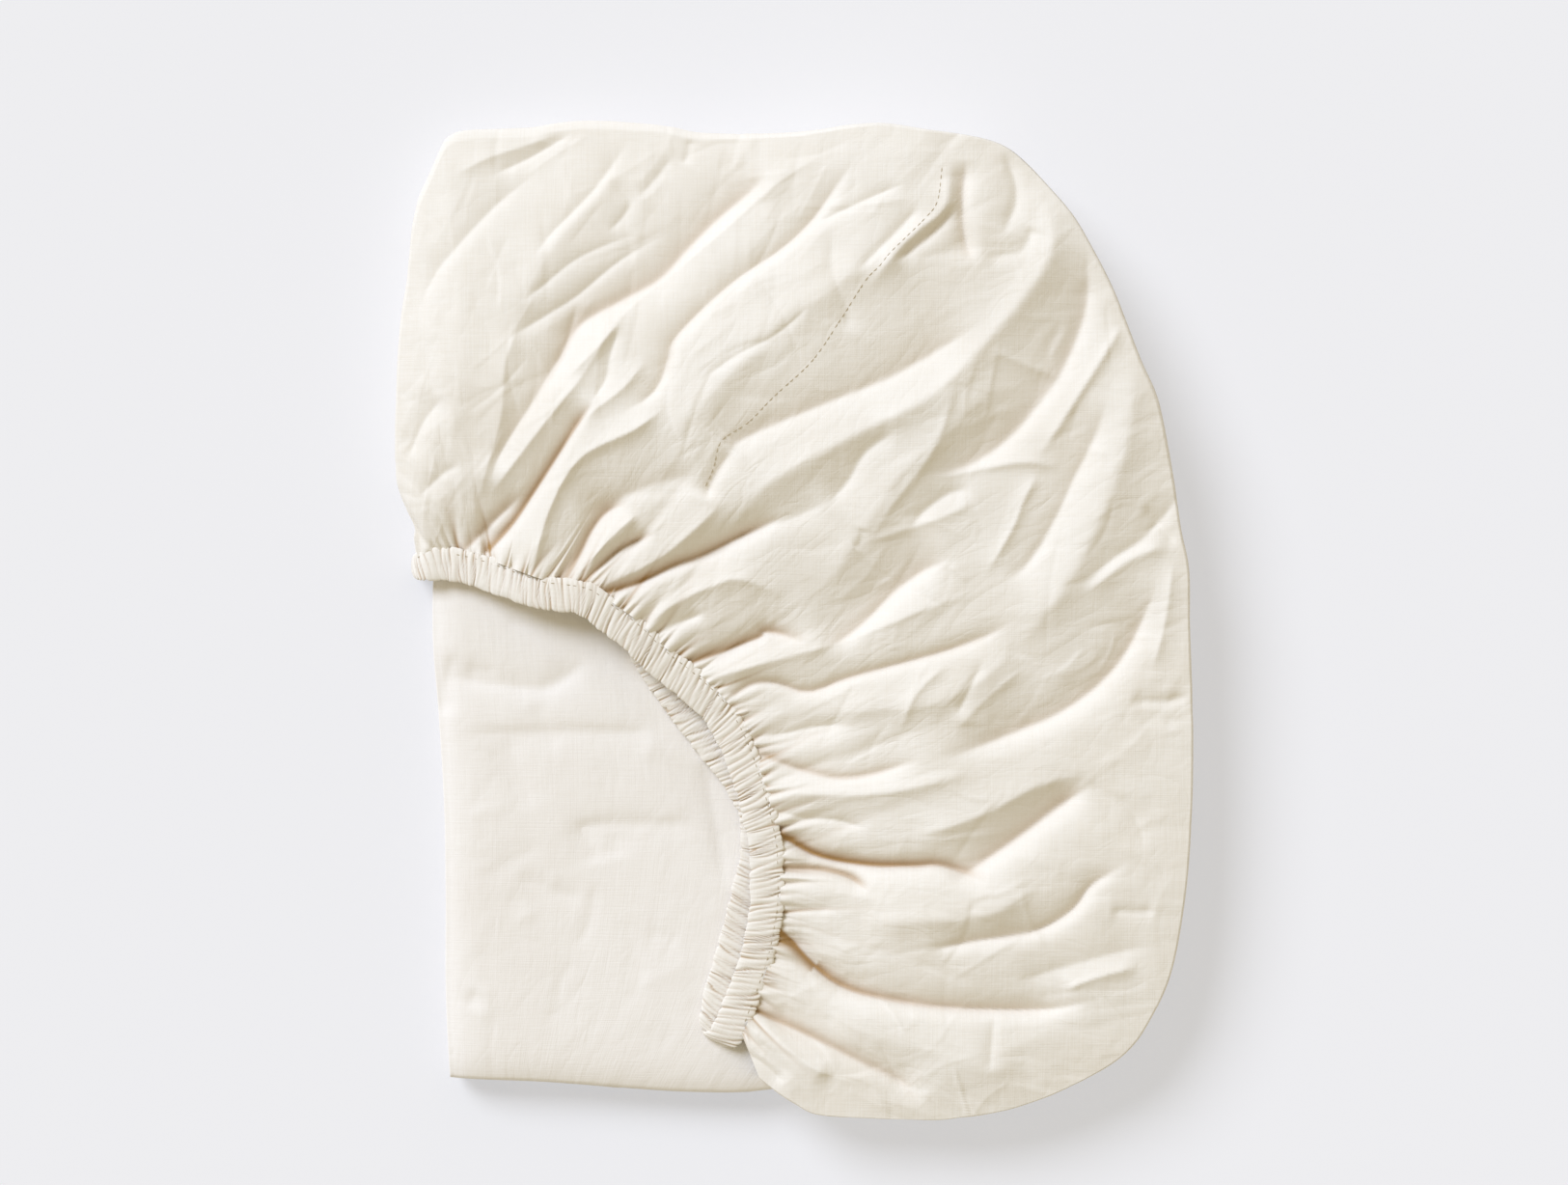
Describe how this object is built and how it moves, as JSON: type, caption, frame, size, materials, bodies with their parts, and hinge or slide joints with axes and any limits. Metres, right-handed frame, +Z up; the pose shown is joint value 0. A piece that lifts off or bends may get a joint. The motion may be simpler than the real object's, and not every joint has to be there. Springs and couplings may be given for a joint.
{
  "type": "folded fitted sheet",
  "caption": "Cotton fitted sheet folded into a flat pack, its gathered corner pocket pulled over the folded layers as a hood with an elastic edge.",
  "frame": {"origin": "centre of the pack's footprint, on the surface it lies on", "axes": "+Z up from the surface, +Y along the pack towards the closed end of the hood, +X across it towards the hood's long side"},
  "size_m": [0.3021, 0.3788, 0.0427],
  "materials": {
    "cotton_percale": "washed plain weave, natural white, matt",
    "gathered_casing": "the same cloth gathered on elastic, matt"
  },
  "bodies": {
    "root": {"cloth": "cotton_percale", "elastic_edge": "gathered_casing"}
  },
  "joints": []
}
